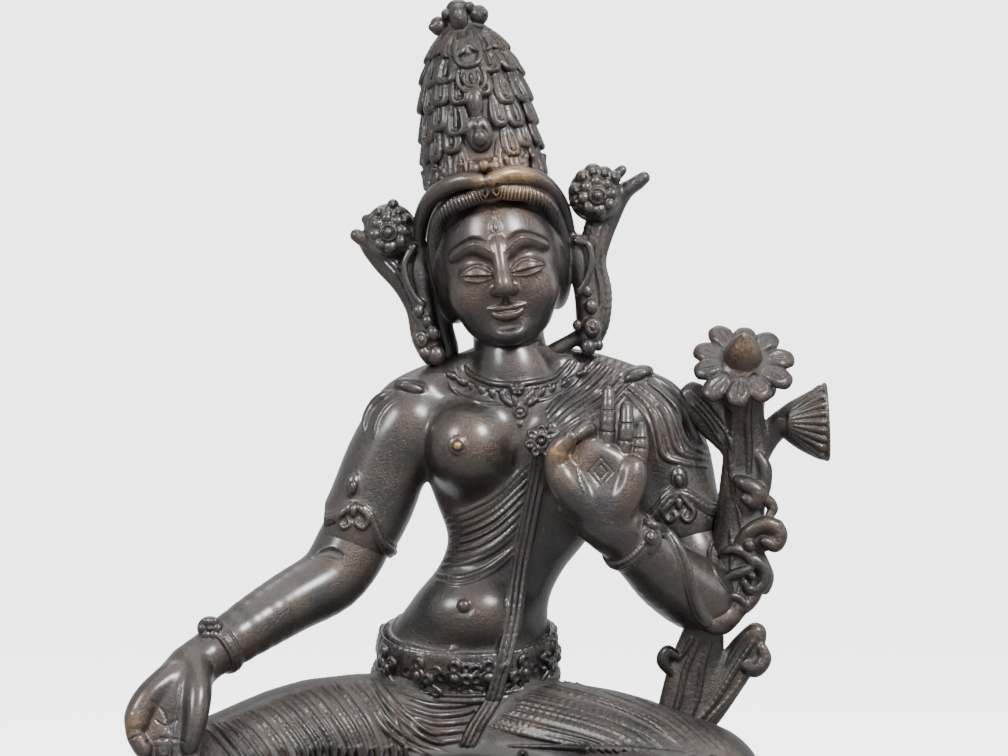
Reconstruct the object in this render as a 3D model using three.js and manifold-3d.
// A seated Tara in cast bronze on an oval double-lotus plinth, in millimetres, +Z up, facing -Y.
// The figure is one casting: body, robe, jewellery, tall piled hair, and the lotus by its left arm.
// The plinth is a second casting that the figure sits on.
import * as THREE from "three";
import { mergeVertices } from "three/addons/utils/BufferGeometryUtils.js";
import Module from "manifold-3d";

const wasm = await Module();
wasm.setup();

// Driving dimensions, in millimetres.
const FIGURE_HEIGHT = 256.5; // from the seat to the tip of the piled hair
const PLINTH_HEIGHT = 42;
const PLINTH_LEDGE = 5; // how far the plinth's top stands out past the knees and the feet
const PLINTH_PETALS = 16; // in each of the two rows
const PETAL_SWELL = 3; // how far a petal stands out from the drum
const FOOT_RIM_HEIGHT = 5; // the plain band at the plinth's underside
const TOP_SLAB_HEIGHT = 4.5;
const WAIST_DEPTH = 12; // how far the waist draws in between the two rows of petals
const WAIST_RADIUS = 2; // the rounded ring at the waist
const SEAT_GAP = 0.3; // the joint between the two castings

// The figure is drawn on a grid of its own: GRID units from the seat to the tip of the hair,
// x to the right of the hips' axis, y to the back and z up from the seat.
const GRID = 855;
const UNIT = FIGURE_HEIGHT / GRID;
const KNEE_REACH = 300; // from the axis to the outer side of a knee, in grid units
const FEET_REACH = 165; // from the axis to the front of the crossed feet, in grid units

const BRONZE = new THREE.MeshStandardMaterial({ color: 0x3d332b, roughness: 0.42, metalness: 0.85 });
const WORN_BRONZE = new THREE.MeshStandardMaterial({ color: 0x4a3b2c, roughness: 0.45, metalness: 0.85 });

const FRONT = -1;

// Value at t of a smooth curve through rows of numbers, where row i is passed at t = i.
function along(rows, t) {
  const last = rows.length - 1;
  const i = Math.min(Math.floor(t), last - 1);
  const f = t - i;
  const row = (k) => rows[Math.max(0, Math.min(last, k))];
  return rows[0].map((_, n) => {
    const [a, b, c, d] = [row(i - 1)[n], row(i)[n], row(i + 1)[n], row(i + 2)[n]];
    return b + 0.5 * f * (c - a + f * (2 * a - 5 * b + 4 * c - d + f * (3 * (b - c) + d - a)));
  });
}

// A closed skin over rings of points, each ring with as many points as the last, ending in two poles.
function skin(rings, startPole, endPole) {
  const sides = rings[0].length;
  const points = [startPole, ...rings.flat(), endPole];
  const end = points.length - 1;
  const faces = [];
  const at = (ring, side) => 1 + ring * sides + (side % sides);
  for (let s = 0; s < sides; s++) {
    faces.push([0, at(0, s + 1), at(0, s)]);
    faces.push([end, at(rings.length - 1, s), at(rings.length - 1, s + 1)]);
    for (let r = 0; r + 1 < rings.length; r++) {
      faces.push([at(r, s), at(r, s + 1), at(r + 1, s + 1)]);
      faces.push([at(r, s), at(r + 1, s + 1), at(r + 1, s)]);
    }
  }
  const sixfoldVolume = faces.reduce((sum, [a, b, c]) => {
    return sum + points[a].dot(new THREE.Vector3().crossVectors(points[b], points[c]));
  }, 0);
  const outward = sixfoldVolume > 0 ? faces : faces.map(([a, b, c]) => [b, a, c]);
  return new THREE.BufferGeometry().setFromPoints(points).setIndex(outward.flat());
}

// A three.js geometry as a solid that can be joined and cut.
function solid(geometry) {
  const bare = geometry.clone();
  bare.deleteAttribute("normal");
  bare.deleteAttribute("uv");
  const merged = mergeVertices(bare, 1e-4);
  const shape = new wasm.Mesh({
    numProp: 3,
    vertProperties: new Float32Array(merged.attributes.position.array),
    triVerts: new Uint32Array(merged.index.array),
  });
  return new wasm.Manifold(shape);
}

function joined(solids) {
  return solids.reduce((whole, next) => whole.add(next));
}

// The points of an ellipse round a centre, between two directions.
function ellipse(centre, across, up, sides) {
  return Array.from({ length: sides }, (_, s) => {
    const angle = (2 * Math.PI * s) / sides;
    return centre.clone().addScaledVector(across, Math.cos(angle)).addScaledVector(up, Math.sin(angle));
  });
}

// A tapering round or flattened form along a curve. A station is [x, y, z, width, thickness], where
// both are radii and wide is the direction that the width lies in. Its ends are rounded, or pointed.
// Folds ring it: every second ring stands out by fold, and slant carries a ring's front back along
// the run, as cloth is drawn.
function limb(stations, options = {}) {
  const { sides = 8, steps = 1, wide = [1, 0, 0], cap = 0.6, pointed = false, fold = 0, slant = 0 } = options;
  const rows = stations.map((s) => (s.length > 4 ? s : [...s, s[3]]));
  const last = rows.length - 1;
  const across = new THREE.Vector3(...wide);
  const rings = [];
  const ringAt = (t, share, shift) => {
    const [x, y, z, width, thickness] = along(rows, t);
    const before = along(rows, Math.max(0, t - 0.05));
    const after = along(rows, Math.min(last, t + 0.05));
    const run = new THREE.Vector3(...after).sub(new THREE.Vector3(...before)).normalize();
    const u = across.clone().addScaledVector(run, -across.dot(run)).normalize();
    const v = new THREE.Vector3().crossVectors(run, u);
    const centre = new THREE.Vector3(x, y, z).addScaledVector(run, shift * cap * Math.min(width, thickness));
    const lift = fold * (Math.round(t * steps) % 2);
    const ring = ellipse(
      centre,
      u.multiplyScalar(share * (width + lift)),
      v.multiplyScalar(share * (thickness + lift)),
      sides,
    );
    rings.push(ring.map((p) => p.addScaledVector(run, slant * (p.y - centre.y))));
    return centre;
  };
  const startPole = ringAt(0, 0, -1);
  rings.pop();
  if (!pointed) {
    ringAt(0, 0.7, -0.7);
  }
  for (let i = 0; i <= last * steps; i++) {
    ringAt(i / steps, 1, 0);
  }
  if (!pointed) {
    ringAt(last, 0.7, 0.7);
  }
  const endPole = ringAt(last, 0, 1);
  rings.pop();
  return solid(skin(rings, startPole, endPole));
}

// A form of level rings. A station is [z, x, y, half width, reach to the front, reach to the back].
// Its front sinks by sag, as a belt's does.
function column(stations, { sides = 12, steps = 1, sag = 0 } = {}) {
  const rings = [];
  const last = stations.length - 1;
  for (let i = 0; i <= last * steps; i++) {
    const [z, x, y, halfWidth, front, back] = along(stations, i / steps);
    const ring = Array.from({ length: sides }, (_, s) => {
      const angle = (2 * Math.PI * s) / sides;
      const depth = Math.sin(angle) < 0 ? front : back;
      const drop = sag * Math.max(0, -Math.sin(angle));
      return new THREE.Vector3(x + halfWidth * Math.cos(angle), y + depth * Math.sin(angle), z - drop);
    });
    rings.push(ring);
  }
  const middle = ([z, x, y]) => new THREE.Vector3(x, y, z);
  return solid(skin(rings, middle(stations[0]), middle(stations[last])));
}

// An egg-shaped boss, turned by roll about the y axis.
function ball([x, y, z], [rx, ry, rz], { sides = 6, rows = 4, roll = 0 } = {}) {
  const geometry = new THREE.SphereGeometry(1, sides, rows);
  geometry.rotateX(Math.PI / 2).scale(rx, ry, rz).rotateY(roll).translate(x, y, z);
  return solid(geometry);
}

const BEAD = { sides: 5, rows: 3 };

// An open flower that faces along out: a scalloped disc of petals round a raised middle.
function flower(centre, radius, depth, { petals = 6, out = [0, -1, 0] } = {}) {
  const facing = new THREE.Vector3(...out).normalize();
  const turn = new THREE.Quaternion().setFromUnitVectors(new THREE.Vector3(0, 0, 1), facing);
  const at = (x, y, z) => new THREE.Vector3(x, y, z).applyQuaternion(turn).add(new THREE.Vector3(...centre));
  const ring = (share, notch, rise) =>
    Array.from({ length: 2 * petals }, (_, n) => {
      const r = radius * share * (n % 2 ? notch : 1);
      const angle = (Math.PI * n) / petals;
      return at(r * Math.cos(angle), r * Math.sin(angle), rise * depth);
    });
  const rings = [ring(0.6, 1, -0.9), ring(1, 0.74, 0), ring(0.45, 0.8, 0.45)];
  return solid(skin(rings, at(0, 0, -depth), at(0, 0, depth)));
}

// Where a line of sight from the front, or from the back, meets a solid.
function surfaceProbe(body) {
  const { vertProperties, triVerts } = body.getMesh();
  const geometry = new THREE.BufferGeometry();
  geometry.setAttribute("position", new THREE.BufferAttribute(new Float32Array(vertProperties), 3));
  geometry.setIndex(new THREE.BufferAttribute(new Uint32Array(triVerts), 1));
  const target = new THREE.Mesh(geometry, new THREE.MeshBasicMaterial({ side: THREE.DoubleSide }));
  return (x, z, face = FRONT) => {
    const eye = new THREE.Vector3(x, face * GRID, z);
    const hits = new THREE.Raycaster(eye, new THREE.Vector3(0, -face, 0)).intersectObject(target);
    return hits.length ? hits[0].point.y : null;
  };
}

// A wax thread laid on a body as seen from the front: points are [x, z], and it is sunk by a share
// of its radius.
function thread(probe, points, radius, { steps = 1, sides = 4, sink = 0.2, face = FRONT } = {}) {
  const rows = [];
  for (let i = 0; i <= (points.length - 1) * steps; i++) {
    const [x, z] = along(points, i / steps);
    const y = probe(x, z, face);
    if (y !== null) {
      rows.push([x, y - face * radius * sink, z, radius]);
    }
  }
  return limb(rows, { sides, wide: [0.3, 0, 1], cap: 0.9, pointed: true });
}

// The crossed legs, under cloth

function legs() {
  const thigh = { sides: 8, steps: 6, wide: [0, 1, 0], fold: 4, slant: 0.45 };
  const shin = { sides: 7, steps: 4, wide: [0, 1, 0], fold: 4 };
  const foot = { sides: 5, wide: [0, 0, 1], pointed: true };
  return joined([
    limb([[-40, 55, 112, 62, 62], [-150, 12, 109, 62, 62], [-246, -34, 87, 50, 54]], thigh),
    limb([[40, 55, 108, 62, 62], [140, 12, 97, 62, 62], [230, -34, 81, 50, 54]], thigh),
    limb([[-250, -50, 56, 46, 48], [-130, -92, 58, 40, 46], [0, -108, 48, 32, 40]], shin),
    limb([[236, -48, 54, 46, 48], [130, -92, 62, 40, 48], [0, -104, 52, 32, 42]], shin),
    limb([[-20, -108, 32, 26, 26], [70, -138, 36, 28, 20], [128, -126, 36, 20, 12]], foot),
    limb([[20, -108, 40, 26, 26], [-70, -134, 40, 28, 20], [-128, -122, 38, 20, 12]], foot),
    ball([0, 60, 66], [100, 64, 66]),
    ball([0, -30, 48], [150, 90, 56]),
  ]);
}

// The bare torso, neck and breasts

function torso() {
  const trunk = column([
    [80, 0, 60, 92, 56, 60],
    [160, 0, 60, 94, 56, 60],
    [218, 4, 56, 82, 52, 51],
    [250, 16, 52, 71, 46, 44],
    [280, 35, 49, 66, 41, 41],
    [312, 53, 46, 73, 42, 44],
    [350, 58, 46, 90, 46, 50],
    [400, 62, 47, 112, 46, 52],
    [440, 64, 47, 118, 38, 46],
    [466, 62, 46, 82, 30, 36],
    [486, 55, 42, 42, 28, 30],
  ]);
  const neck = limb([[53, 42, 455, 40], [46, 36, 488, 36], [42, 34, 525, 36]]);
  const breasts = [-2, 106].map((x) => ball([x, 6, 405], [47, 47, 47], { sides: 8, rows: 6 }));
  return joined([trunk, neck, ...breasts]);
}

// The arms: the right one hangs down and out to the knee, the left one is raised

function arms() {
  const round = { sides: 8, wide: [0, 1, 0] };
  const lowered = limb(
    [
      [-56, 46, 430, 40, 40],
      [-80, 47, 390, 36, 36],
      [-94, 46, 350, 36, 37],
      [-114, 41, 305, 35, 36],
      [-136, 28, 272, 34, 34],
      [-174, 4, 250, 30, 31],
      [-212, -26, 227, 27, 28],
      [-268, -62, 190, 21, 22],
    ],
    round,
  );
  const raised = limb(
    [
      [186, 46, 430, 42, 42],
      [206, 47, 388, 37, 38],
      [214, 44, 340, 35, 37],
      [232, 32, 285, 36, 37],
      [234, 10, 258, 37, 37],
      [204, -26, 276, 34, 35],
      [176, -56, 302, 29, 30],
      [146, -80, 328, 25, 26],
    ],
    round,
  );
  return joined([lowered, raised]);
}

function fingerOf(points, radius) {
  const rows = points.map((p, i) => [...p, radius * (1 - 0.1 * i)]);
  return limb(rows, { sides: 5, cap: 1, pointed: true });
}

// The open right hand, palm to the front, in front of the right knee
function loweredHand() {
  const palm = limb(
    [[-268, -64, 190, 21, 20], [-290, -86, 172, 32, 17], [-298, -98, 146, 38, 15], [-298, -104, 116, 32, 14]],
    { sides: 6 },
  );
  const heel = limb([[-276, -88, 178, 12], [-268, -102, 148, 12], [-272, -106, 122, 9]], { sides: 5 });
  const thumb = fingerOf([[-312, -94, 178], [-325, -104, 156], [-327, -110, 136], [-314, -116, 120]], 14);
  const fingers = [0, 1, 2, 3].map((n) => {
    const root = -318 + 13.5 * n;
    return fingerOf([[root, -105, 122], [root + 2, -109, 54 + 5 * Math.abs(n - 1)]], 8.5);
  });
  return joined([palm, heel, thumb, ...fingers]);
}

// The raised left hand: thumb and forefinger meet, three fingers stand
function raisedHand() {
  const palm = limb(
    [[146, -80, 328, 25, 22], [134, -88, 350, 36, 19], [130, -92, 376, 45, 15], [138, -92, 402, 38, 13]],
    { sides: 6 },
  );
  const thumb = fingerOf([[98, -96, 356], [88, -102, 380], [92, -108, 404], [108, -110, 414]], 14);
  const index = fingerOf([[114, -92, 398], [121, -86, 420], [120, -98, 428], [112, -107, 420]], 9);
  const upright = [
    [142, 468],
    [160, 450],
    [174, 428],
  ];
  const fingers = upright.map(([x, top]) =>
    fingerOf([[x - 2, -92, 395], [x, -90, (395 + top) / 2], [x, -84, top - 6]], 8),
  );
  return joined([palm, thumb, index, ...fingers]);
}

// The head, leaning to the figure's right. Its own axes are u to the right, v up and w to the back.

const HEAD_CENTRE = new THREE.Vector3(37, 26, 578);
const HEAD_LEAN = -0.14; // radians about the y axis

function inHead(u, v, w) {
  return new THREE.Vector3(u, w, v).applyAxisAngle(new THREE.Vector3(0, 1, 0), HEAD_LEAN).add(HEAD_CENTRE);
}

function headLimb(stations, options) {
  const rows = stations.map(([u, v, w, ...radii]) => [...inHead(u, v, w).toArray(), ...radii]);
  return limb(rows, options);
}

function headBall([u, v, w], radii, options) {
  return ball(inHead(u, v, w).toArray(), radii, { roll: HEAD_LEAN, ...options });
}

// A form of rings square to the head's own axis. A station is [v, half width, front, back].
function headColumn(stations, { sides, back = 0 }) {
  const rings = stations.map(([v, halfWidth, front, rear]) =>
    Array.from({ length: sides }, (_, s) => {
      const angle = (2 * Math.PI * s) / sides;
      const depth = Math.sin(angle) < 0 ? front : rear;
      return inHead(halfWidth * Math.cos(angle), v, back + depth * Math.sin(angle));
    }),
  );
  const bottom = inHead(0, stations[0][0] - 4, back);
  const top = inHead(0, stations[stations.length - 1][0] + 6, back);
  return solid(skin(rings, bottom, top));
}

const FACE_WIDTHS = [
  // v, half width, front, back
  [-70, 18, 22, 6],
  [-56, 38, 37, 20],
  [-32, 53, 48, 38],
  [0, 62, 54, 56],
  [40, 63, 56, 64],
  [78, 52, 48, 56],
  [98, 32, 30, 36],
];

// The smooth egg of the face and skull, with the nose, brows, lids and lips on it
function face() {
  const egg = headColumn(FACE_WIDTHS, { sides: 12 });
  const ridge = { sides: 4, wide: [0, 0, 1], pointed: true };
  const nose = headLimb(
    [[0, 20, -53, 4, 6], [0, 0, -58, 6, 6], [0, -17, -60, 11, 9]],
    { sides: 5, pointed: true },
  );
  const paired = [-1, 1].flatMap((side) => [
    headBall([25 * side, 6, -45], [17, 9, 8], BEAD),
    headLimb([[5 * side, 16, -55, 3], [24 * side, 28, -52, 3], [46 * side, 20, -42, 2.5]], ridge),
  ]);
  const lips = headLimb([[-17, -38, -44, 2], [0, -38, -49, 7], [17, -38, -44, 2]], { ...ridge, sides: 5 });
  const chin = headBall([0, -60, -26], [16, 16, 13], BEAD);
  return joined([egg, nose, ...paired, lips, chin]);
}

// The tall piled hair: tiers of pendant locks, a front jewel and a flower finial

const PILE_BACK = 8; // the pile stands a little behind the middle of the head
const LOCKS_PER_TIER = 10;
const LOCK_SWELL = 8;
const PILE_TIERS = [
  // v of the tier's lower edge, radius of the pile there
  [98, 57],
  [124, 55],
  [152, 53],
  [180, 49],
  [208, 38],
  [242, 17],
];

function piledHair() {
  const tierRings = PILE_TIERS.slice(0, -1).flatMap(([foot, footRadius], tier) => {
    const [head, headRadius] = PILE_TIERS[tier + 1];
    const level = (t, swell) => {
      return [foot + t * (head - foot), footRadius + t * (headRadius - footRadius), swell, tier];
    };
    return [level(0.06, 1), level(0.96, 0.25)];
  });
  const [topLevel, topRadius] = PILE_TIERS[PILE_TIERS.length - 1];
  const levels = [[80, 56, 0, 0], [97, 56, 0, 0], ...tierRings, [topLevel, topRadius, 0, 0]];
  const sides = 2 * LOCKS_PER_TIER;
  const rings = levels.map(([v, radius, swell, tier]) =>
    Array.from({ length: sides }, (_, s) => {
      const angle = (2 * Math.PI * s) / sides - Math.PI / 2;
      const crest = (s + tier) % 2 === 0 ? 1 : 0.15;
      const r = radius + LOCK_SWELL * swell * crest * Math.min(1, radius / 45);
      return inHead(r * Math.cos(angle), v, PILE_BACK + r * Math.sin(angle));
    }),
  );
  const core = solid(skin(rings, inHead(0, 76, PILE_BACK), inHead(0, topLevel + 4, PILE_BACK)));
  const jewel = headBall([0, 128, PILE_BACK - 60], [12, 9, 17]);
  const up = inHead(0, 1, 0).sub(HEAD_CENTRE);
  const finial = flower(inHead(-6, 254, PILE_BACK).toArray(), 32, 11, { petals: 4, out: up });
  const tip = headBall([-6, 264, PILE_BACK], [12, 12, 17]);
  const nape = limb(
    [[32, 62, 620, 58, 26], [42, 62, 555, 64, 20], [50, 58, 490, 64, 18]],
    { sides: 6, pointed: true },
  );
  return joined([core, jewel, finial, tip, nape]);
}

// Two rolls of hair that arch over the forehead and meet in a notch
function hairBand() {
  const arch = (side) => [
    [74 * side, 36, 4, 6],
    [70 * side, 64, -12, 7],
    [58 * side, 84, -32, 7.5],
    [36 * side, 95, -48, 7.5],
    [12 * side, 98, -55, 7],
  ];
  const roll = headLimb([...arch(-1), ...arch(1).reverse()], { sides: 4, wide: [0, 1, 0], pointed: true });
  const combed = [-1, 1].map((side) =>
    headLimb(
      [[3 * side, 80, -52, 7], [30 * side, 78, -47, 8], [54 * side, 62, -32, 8], [65 * side, 32, -10, 6]],
      { sides: 4, wide: [0, 0, 1], pointed: true },
    ),
  );
  return joined([roll, ...combed]);
}

// Beside the face: a long ear with its beaded drop, a fan of ribbon, and a rosette on it
function sideOrnament(side) {
  const prong = side < 0 ? [124, 62] : [150, 74];
  const ear = headLimb(
    [
      [66 * side, 40, 14, 12, 11],
      [78 * side, 6, 12, 17, 10],
      [83 * side, -30, 10, 18, 10],
      [78 * side, -62, 6, 16, 12],
      [72 * side, -84, 4, 15, 13],
    ],
    { sides: 5 },
  );
  const ribbon = headLimb(
    [[78 * side, 2, 10, 12, 8], [98 * side, 32, 8, 18, 9], [114 * side, 50, 6, 20, 9]],
    { sides: 5, wide: [0, 0, 1], pointed: true },
  );
  const rosette = flower(inHead(107 * side, 60, -2).toArray(), 28, 16);
  const tip = headLimb(
    [[108 * side, 52, 2, 10], [prong[0] * side, prong[1], 0, 7]],
    { sides: 5, pointed: true },
  );
  const beads = [-40, -66].map((v, n) => headBall([(82 - 6 * n) * side, v, -4], [9, 7, 12], BEAD));
  return joined([ear, ribbon, rosette, tip, ...beads]);
}

// Jewellery

function girdle(probe) {
  const sag = 26;
  const band = column(
    [
      [178, 0, 60, 96, 58, 62],
      [184, 0, 60, 98, 61, 64],
      [192, 0, 60, 94, 57, 60],
      [215, 2, 58, 88, 55, 57],
      [222, 3, 57, 88, 57, 57],
      [228, 4, 56, 82, 52, 51],
    ],
    { sag },
  );
  const flowers = [-62, -22, 18].map((x) => {
    const z = 205 - sag;
    return flower([x, probe(x, z) - 2, z], 15, 5, { petals: 4 });
  });
  return joined([band, ...flowers]);
}

function necklace(probe) {
  const bead = (x, z) => ball([x, probe(x, z), z], [7, 6, 7], BEAD);
  const beads = [-15, 4, 23, 81, 100, 119].map((x) => bead(x, 444 + 0.0065 * (x - 52) ** 2));
  const rim = [[2, 474], [27, 466], [52, 463], [78, 466], [104, 478]];
  const drops = [
    ball([52, probe(52, 454) - 1, 454], [10, 8, 10]),
    ball([54, probe(54, 436), 434], [13, 6, 15], { sides: 4 }),
  ];
  return joined([...beads, thread(probe, rim, 4), ...drops]);
}

// A ring round a limb at a point, square to the limb's run
function ringOn(centre, run, radius, thickness) {
  const section = [
    [radius - thickness, -thickness],
    [radius + thickness, 0],
    [radius - thickness, thickness],
    [radius - thickness, -thickness],
  ].map(([r, height]) => new THREE.Vector2(r, height));
  const ring = new THREE.LatheGeometry(section, 8);
  const up = new THREE.Vector3(0, 1, 0);
  ring.applyQuaternion(new THREE.Quaternion().setFromUnitVectors(up, new THREE.Vector3(...run).normalize()));
  return solid(ring.translate(...centre));
}

function bracelets() {
  return joined([
    ringOn([-112, 42, 314], [-20, -5, -45], 36, 5),
    ringOn([-240, -44, 208], [-56, -36, -37], 26, 5),
    ringOn([218, 41, 326], [14, -8, -50], 37, 5),
    ringOn([162, -68, 315], [-30, -24, 26], 29, 5),
    ball([-110, 14, 362], [9, 8, 14], BEAD),
    ball([-108, 8, 334], [16, 8, 12], BEAD),
    ball([216, 12, 370], [9, 8, 14], BEAD),
    ball([216, 8, 342], [16, 8, 12], BEAD),
    ball([182, -92, 318], [11, 8, 17], BEAD),
    ball([-249, -62, 228], [16, 9, 12], BEAD),
    flower([76, -36, 411], 16, 12),
    ball([-7, -40, 407], [8, 8, 8], BEAD),
    ball([-1, 8, 246], [8, 5, 8], BEAD),
  ]);
}

// The shoulders' slope, with a leaf and a loop of ribbon on each
function shoulders() {
  return joined([
    limb([[24, 48, 488, 18], [-22, 50, 472, 18], [-70, 48, 452, 18]], { sides: 6, pointed: true }),
    limb([[76, 48, 490, 18], [134, 50, 478, 18], [196, 48, 456, 18]], { sides: 6, pointed: true }),
    ball([-60, 32, 472], [24, 16, 12], BEAD),
    ball([200, 28, 472], [22, 16, 11], BEAD),
    limb([[-80, 36, 456, 8], [-100, 34, 446, 9], [-106, 40, 420, 7]], { sides: 5, pointed: true }),
    limb([[204, 30, 466, 8], [226, 30, 456, 9], [238, 40, 430, 7]], { sides: 5, pointed: true }),
  ]);
}

// The robe

function robe(probe) {
  const parts = [];
  const lay = (points, radius) => parts.push(thread(probe, points, radius));
// Folds of the wrap under the breasts, swept up to the ribbon, with its rolled lower edge
  for (let n = 0; n < 3; n++) {
    const drop = 22 * n;
    lay([[-22, 336 - drop], [24, 330 - drop], [66, 362 - drop]], 5);
  }
  lay([[-26, 273], [6, 273], [28, 286], [52, 304]], 6);
  // The double ribbon that falls from the rosette to the lap
  for (const x of [-6, 6]) {
    lay([[74 + x, 392], [56 + x, 280], [46 + x, 215], [14 + x, 122]], 6.5);
  }
  // The scarf over the left shoulder and upper arm
  lay([[96, 428], [134, 456], [152, 482]], 7);
  for (let n = 0; n < 2; n++) {
    lay([[174 + 20 * n, 462 - 4 * n], [198 + 16 * n, 420 + 4 * n], [222 + 14 * n, 392 + 8 * n]], 6);
  }
  // Level pleats in the lap
  for (let n = 0; n < 2; n++) {
    lay([[-60 + 8 * n, 146 - 20 * n], [-28, 138 - 20 * n], [6, 146 - 20 * n]], 5.5);
  }
  return joined(parts);
}

// The lotus: stalk, open flower, side flower and curled leaves

function lotus() {
  const trunk = limb(
    [
      [262, 8, 236, 18, 13],
      [280, 12, 290, 22, 13],
      [282, 14, 340, 20, 13],
      [283, 12, 392, 24, 14],
      [280, 4, 450, 18, 14],
    ],
    { sides: 6 },
  );
  const onForearm = limb(
    [[186, -84, 312, 6], [206, -72, 280, 6], [222, -38, 246, 7], [240, -14, 226, 8], [258, 4, 232, 9]],
    { sides: 4, pointed: true },
  );
  const leafToShoulder = limb([[274, 10, 408, 14, 8], [250, 20, 436, 20, 8], [222, 28, 460, 14, 8]], {
    sides: 6,
    wide: [0, 0, 1],
  });
  const facing = [0, -0.75, 0.66];
  const blossom = flower([276, -8, 487], 53, 14, { petals: 11, out: facing });
  const bud = limb(
    [[277, -8, 487, 20], [277, -20, 497, 16], [277, -31, 506, 6]],
    { sides: 6, pointed: true },
  );
  const calyx = limb([[279, 6, 440, 15], [278, 2, 474, 24]], { sides: 6, pointed: true });
  const sideStem = limb([[288, 12, 388, 12, 9], [306, 8, 420, 12, 10], [320, 6, 430, 14, 12]], {
    sides: 5,
    pointed: true,
  });
  const sideFlower = limb([[320, 6, 430, 14, 12], [338, 5, 430, 25, 18], [360, 4, 430, 38, 24]], {
    wide: [0, 0, 1],
    cap: 0.15,
  });
  const scrolls = [
    [[284, 8, 312, 12], [304, 4, 332, 12], [312, 2, 314, 9]],
    [[276, 8, 262, 13], [291, 4, 276, 11], [289, 2, 258, 8]],
    [[288, 2, 348, 12], [298, -2, 356, 8]],
  ].map((stations) => limb(stations, { sides: 5, pointed: true, cap: 0.9 }));
  return joined([trunk, onForearm, leafToShoulder, blossom, bud, calyx, sideStem, sideFlower, ...scrolls]);
}

// The leaf that rises behind the knee and carries the elbow
function lowerLeaf() {
  return joined([
    limb([[206, 26, 116, 16, 10], [222, 26, 152, 27, 11], [236, 22, 186, 29, 11], [242, 18, 222, 20, 12]], {
      sides: 6,
    }),
    limb([[228, 24, 138, 16, 9], [258, 22, 166, 18, 9], [284, 20, 198, 17, 9], [294, 18, 218, 9, 8]], {
      sides: 6,
      wide: [1, 0, -1],
    }),
    ball([210, 20, 190], [10, 9, 11], BEAD),
    ball([286, 18, 190], [12, 10, 12], BEAD),
  ]);
}

function taraFigure() {
  const body = joined([legs(), torso(), arms(), shoulders()]);
  const probe = surfaceProbe(body);
  const whole = joined([
    body,
    loweredHand(),
    raisedHand(),
    face(),
    piledHair(),
    hairBand(),
    sideOrnament(-1),
    sideOrnament(1),
    necklace(probe),
    robe(probe),
    lotus(),
    lowerLeaf(),
    bracelets(),
    girdle(probe),
  ]);
  // The seat and the undersides of the crossed legs are filed flat.
  const below = new THREE.BoxGeometry(2 * GRID, 2 * GRID, GRID).translate(0, 0, -GRID / 2);
  return whole.subtract(solid(below));
}

// The plinth: an oval double lotus, with rows of petals that turn up and down from a ringed waist.
function lotusPlinth() {
  const halfWidth = KNEE_REACH * UNIT + PLINTH_LEDGE;
  const halfDepth = FEET_REACH * UNIT + PLINTH_LEDGE;
  const petalTop = PLINTH_HEIGHT - TOP_SLAB_HEIGHT;
  const waist = (FOOT_RIM_HEIGHT + petalTop) / 2;
  const upper = petalTop - waist - WAIST_RADIUS;
  const lower = waist - WAIST_RADIUS - FOOT_RIM_HEIGHT;
  const slope = WAIST_DEPTH - WAIST_RADIUS;
  // z, how far in from the widest oval, and how far the petals swell from there
  const profile = [
    [0, PETAL_SWELL, 0],
    [FOOT_RIM_HEIGHT, PETAL_SWELL, 0],
    [FOOT_RIM_HEIGHT + 0.12 * lower, PETAL_SWELL, PETAL_SWELL],
    [FOOT_RIM_HEIGHT + 0.5 * lower, PETAL_SWELL + 0.35 * slope, PETAL_SWELL],
    [waist - WAIST_RADIUS, WAIST_DEPTH, 0.3 * PETAL_SWELL],
    [waist, WAIST_DEPTH - WAIST_RADIUS, 0],
    [waist + WAIST_RADIUS, WAIST_DEPTH, 0.3 * PETAL_SWELL],
    [waist + WAIST_RADIUS + 0.5 * upper, PETAL_SWELL + 0.35 * slope, PETAL_SWELL],
    [petalTop - 0.12 * upper, PETAL_SWELL, PETAL_SWELL],
    [petalTop, PETAL_SWELL, 0],
    [PLINTH_HEIGHT, PETAL_SWELL, 0],
  ];
  const pointsPerPetal = 3;
  const sides = PLINTH_PETALS * pointsPerPetal;
  const rings = profile.map(([z, inset, swell]) =>
    Array.from({ length: sides }, (_, s) => {
      const angle = (2 * Math.PI * s) / sides;
      const share = Math.sqrt(Math.abs(Math.sin((angle * PLINTH_PETALS) / 2)));
      const out = swell * share - inset;
      return new THREE.Vector3((halfWidth + out) * Math.cos(angle), (halfDepth + out) * Math.sin(angle), z);
    }),
  );
  return solid(skin(rings, new THREE.Vector3(0, 0, 0), new THREE.Vector3(0, 0, PLINTH_HEIGHT)));
}

function meshOf(made, name, material, unit = 1) {
  const { vertProperties, triVerts } = made.getMesh();
  const geometry = new THREE.BufferGeometry();
  geometry.setAttribute("position", new THREE.BufferAttribute(new Float32Array(vertProperties), 3));
  geometry.setIndex(new THREE.BufferAttribute(new Uint32Array(triVerts), 1));
  geometry.scale(unit, unit, unit);
  geometry.computeVertexNormals();
  const mesh = new THREE.Mesh(geometry, material);
  mesh.name = name;
  return mesh;
}

const statue = new THREE.Group();
const figure = meshOf(taraFigure(), "tara_figure", BRONZE, UNIT);
figure.position.z = PLINTH_HEIGHT + SEAT_GAP;
statue.add(figure);
statue.add(meshOf(lotusPlinth(), "lotus_plinth", WORN_BRONZE));

export default statue;
